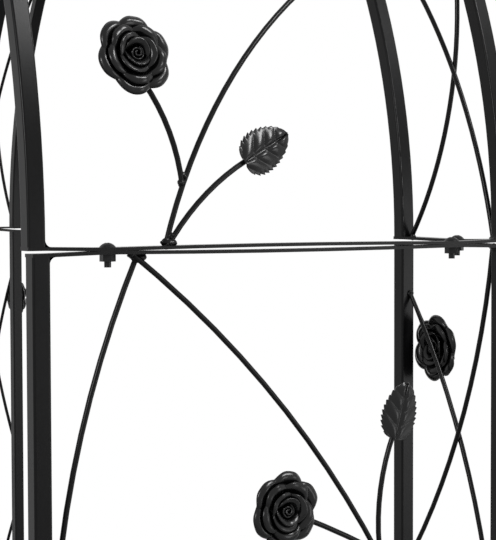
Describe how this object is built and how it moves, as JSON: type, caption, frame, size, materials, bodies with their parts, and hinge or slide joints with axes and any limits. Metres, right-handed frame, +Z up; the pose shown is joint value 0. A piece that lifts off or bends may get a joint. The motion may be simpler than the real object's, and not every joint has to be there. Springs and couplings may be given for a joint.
{
  "type": "garden trellis arch",
  "caption": "Tall free-standing walk-through garden arch of square tube with bent wire trellis, pressed metal roses and leaves, bolted at the springing and at the top.",
  "frame": {"origin": "on the floor, at the centre of the four anchor holes in the side foot strips", "axes": "+Z up, +X across the opening, -Y towards the decorated front face"},
  "size_m": [1.435, 0.5403, 2.3382],
  "materials": {
    "tubes": "semi-gloss black powder coat",
    "strips": "semi-gloss black powder coat",
    "wires": "semi-gloss black powder coat",
    "flowers": "semi-gloss black powder coat over pressed sheet",
    "fasteners": "black-finished steel"
  },
  "bodies": {
    "root": {"joint_bolts": "fasteners", "joint_nuts": "fasteners", "left_arch_apex_front_strip": "strips", "left_arch_apex_strip": "strips", "left_arch_back_tube": "tubes", "left_arch_bottom_front_strip": "strips", "left_arch_bottom_side_strip": "strips", "left_arch_front_tube": "tubes", "left_arch_front_vine": "wires", "left_arch_inner_tube": "tubes", "left_arch_leaves": "flowers", "left_arch_side_rose_by_joint": "flowers", "left_arch_side_rose_far": "flowers", "left_arch_side_vine": "wires", "left_arch_stems": "wires", "left_leg_back_post": "tubes", "left_leg_foot_front_strip": "strips", "left_leg_foot_side_strip": "strips", "left_leg_front_post": "tubes", "left_leg_front_rose_1": "flowers", "left_leg_front_rose_3": "flowers", "left_leg_front_vine": "wires", "left_leg_inner_post": "tubes", "left_leg_leaves": "flowers", "left_leg_side_rose_by_joint": "flowers", "left_leg_side_rose_far": "flowers", "left_leg_side_vine": "wires", "left_leg_stems": "wires", "left_leg_top_front_strip": "strips", "left_leg_top_side_strip": "strips", "right_arch_apex_front_strip": "strips", "right_arch_apex_strip": "strips", "right_arch_back_tube": "tubes", "right_arch_bottom_front_strip": "strips", "right_arch_bottom_side_strip": "strips", "right_arch_front_tube": "tubes", "right_arch_front_vine": "wires", "right_arch_inner_tube": "tubes", "right_arch_leaves": "flowers", "right_arch_side_rose_by_joint": "flowers", "right_arch_side_rose_far": "flowers", "right_arch_side_vine": "wires", "right_arch_stems": "wires", "right_leg_back_post": "tubes", "right_leg_foot_front_strip": "strips", "right_leg_foot_side_strip": "strips", "right_leg_front_post": "tubes", "right_leg_front_rose_1": "flowers", "right_leg_front_rose_3": "flowers", "right_leg_front_vine": "wires", "right_leg_inner_post": "tubes", "right_leg_leaves": "flowers", "right_leg_side_rose_by_joint": "flowers", "right_leg_side_rose_far": "flowers", "right_leg_side_vine": "wires", "right_leg_stems": "wires", "right_leg_top_front_strip": "strips", "right_leg_top_side_strip": "strips"}
  },
  "joints": []
}
